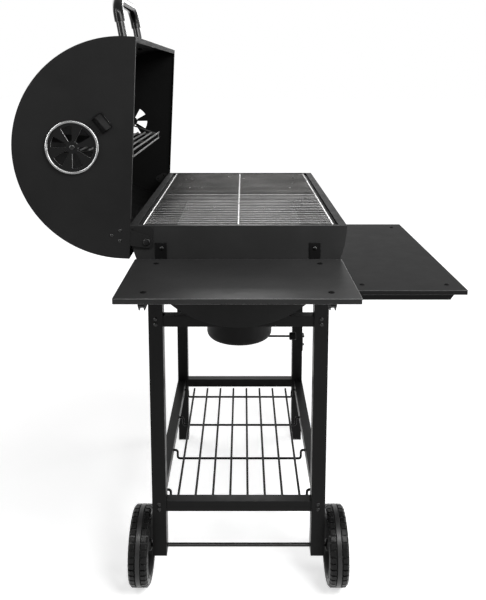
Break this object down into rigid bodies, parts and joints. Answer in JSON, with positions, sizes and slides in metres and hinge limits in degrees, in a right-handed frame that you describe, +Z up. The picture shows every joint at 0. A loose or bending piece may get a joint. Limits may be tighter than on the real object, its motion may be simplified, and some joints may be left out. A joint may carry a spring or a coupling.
{
  "type": "barrel charcoal grill",
  "caption": "Barrel charcoal grill on a wheeled stand, lid open, with a side table, a folding front table, a wire shelf and an ash cup.",
  "frame": {"origin": "ground level, below the middle of the overall box with the lid open", "axes": "+X along the barrel from the wheel end to the foot end, -Y towards the cook, +Z up"},
  "size_m": [1.0416, 0.9722, 1.3776],
  "materials": {
    "enamel": "satin heat-proof enamel",
    "tube_paint": "semi-gloss black paint",
    "table_paint": "fine satin black paint",
    "wire_nickel": "plated wire",
    "hardware": "black zinc-plated steel",
    "chrome_trim": "polished",
    "pan_steel": "heat-proof matt",
    "tab_black": "gloss",
    "grip_sleeve": "smooth",
    "wheel_plastic": "moulded",
    "tread_rubber": "moulded tread"
  },
  "bodies": {
    "stand": {"firebox_shell": "enamel", "firebox_end_left": "enamel", "firebox_end_right": "enamel", "grate_ledges": "enamel", "ash_collar": "enamel", "leg_left_front": "tube_paint", "leg_left_back": "tube_paint", "leg_right_front": "tube_paint", "leg_right_back": "tube_paint", "feet": "wheel_plastic", "cross_tube_upper_left": "tube_paint", "cross_tube_upper_right": "tube_paint", "cross_tube_lower_left": "tube_paint", "cross_tube_lower_right": "tube_paint", "side_rail_front": "tube_paint", "side_rail_back": "tube_paint", "bottom_shelf": "tube_paint", "axle": "hardware", "axle_nuts": "hardware", "side_table": "table_paint", "side_arms": "tube_paint", "side_screws": "hardware", "frame_bolts": "hardware", "front_brackets": "tube_paint", "front_pivots": "hardware", "bottle_opener": "tube_paint", "hinge_brackets": "enamel", "hinge_bolts": "hardware"},
    "lid": {"lid_shell": "enamel", "lid_end_left": "enamel", "lid_end_right": "enamel", "hinge_arms": "enamel", "lid_rivets": "hardware", "lid_handle": "tube_paint", "handle_grip": "grip_sleeve", "handle_bolts": "hardware", "vent_pins": "chrome_trim", "rack_hangers": "enamel"},
    "vent_left": {"vent_disc_left": "enamel", "vent_ring_left": "chrome_trim", "vent_tab_left": "tab_black"},
    "vent_right": {"vent_disc_right": "enamel", "vent_ring_right": "chrome_trim", "vent_tab_right": "tab_black"},
    "warming_rack": {"warming_rack": "wire_nickel"},
    "grate_left": {"cooking_grate_left": "wire_nickel"},
    "grate_right": {"cooking_grate_right": "wire_nickel"},
    "pan_left": {"charcoal_pan_left": "pan_steel"},
    "pan_right": {"charcoal_pan_right": "pan_steel"},
    "ash_cup": {"ash_cup": "enamel", "damper_rivet": "hardware"},
    "ash_damper": {"ash_damper": "tube_paint", "damper_knob": "tab_black"},
    "wheel_front": {"tyre_front": "tread_rubber", "hub_front": "wheel_plastic"},
    "wheel_back": {"tyre_back": "tread_rubber", "hub_back": "wheel_plastic"},
    "front_table": {"front_table": "table_paint", "front_arms": "tube_paint", "front_screws": "hardware"}
  },
  "joints": [
    {"name": "lid_hinge", "type": "hinge", "parent": "stand", "child": "lid", "pos_m": [0.1172, 0.21273, 0.841], "axis": [-1, 0, 0], "range_deg": [-87, 0]},
    {"name": "vent_turn_left", "type": "hinge", "parent": "lid", "child": "vent_left", "pos_m": [-0.2706, 0.36097, 1.04088], "axis": [1, 0, 0], "range_deg": [0, 30]},
    {"name": "vent_turn_right", "type": "hinge", "parent": "lid", "child": "vent_right", "pos_m": [0.505, 0.36097, 1.04088], "axis": [1, 0, 0], "range_deg": [0, 30]},
    {"name": "rack_level", "type": "hinge", "parent": "lid", "child": "warming_rack", "pos_m": [-0.0013, 0.3209, 1.05079], "axis": [-1, 0, 0], "range_deg": [0, 87]},
    {"name": "grate_lift_left", "type": "slide", "parent": "stand", "child": "grate_left", "axis": [0, 0, 1], "range_m": [0, 0.25]},
    {"name": "grate_lift_right", "type": "slide", "parent": "stand", "child": "grate_right", "axis": [0, 0, 1], "range_m": [0, 0.25]},
    {"name": "pan_lift_left", "type": "slide", "parent": "stand", "child": "pan_left", "axis": [0, 0, 1], "range_m": [0, 0.075]},
    {"name": "pan_lift_right", "type": "slide", "parent": "stand", "child": "pan_right", "axis": [0, 0, 1], "range_m": [0, 0.075]},
    {"name": "ash_cup_drop", "type": "slide", "parent": "stand", "child": "ash_cup", "axis": [0, 0, 1], "range_m": [-0.08, 0]},
    {"name": "ash_damper_turn", "type": "hinge", "parent": "ash_cup", "child": "ash_damper", "pos_m": [0.1172, 0.02089, 0.48], "axis": [0, 0, 1], "range_deg": [0, 45]},
    {"name": "wheel_spin_front", "type": "hinge", "parent": "stand", "child": "wheel_front", "pos_m": [-0.1968, -0.16362, 0.088], "axis": [0, 1, 0], "continuous": true},
    {"name": "wheel_spin_back", "type": "hinge", "parent": "stand", "child": "wheel_back", "pos_m": [-0.1968, 0.20539, 0.088], "axis": [0, 1, 0], "continuous": true},
    {"name": "front_table_fold", "type": "hinge", "parent": "stand", "child": "front_table", "pos_m": [0.1172, -0.20111, 0.699], "axis": [1, 0, 0], "range_deg": [0, 90]}
  ],
  "couplings": [
    {"joint": "rack_level", "follows": "lid_hinge", "ratio": -1}
  ]
}
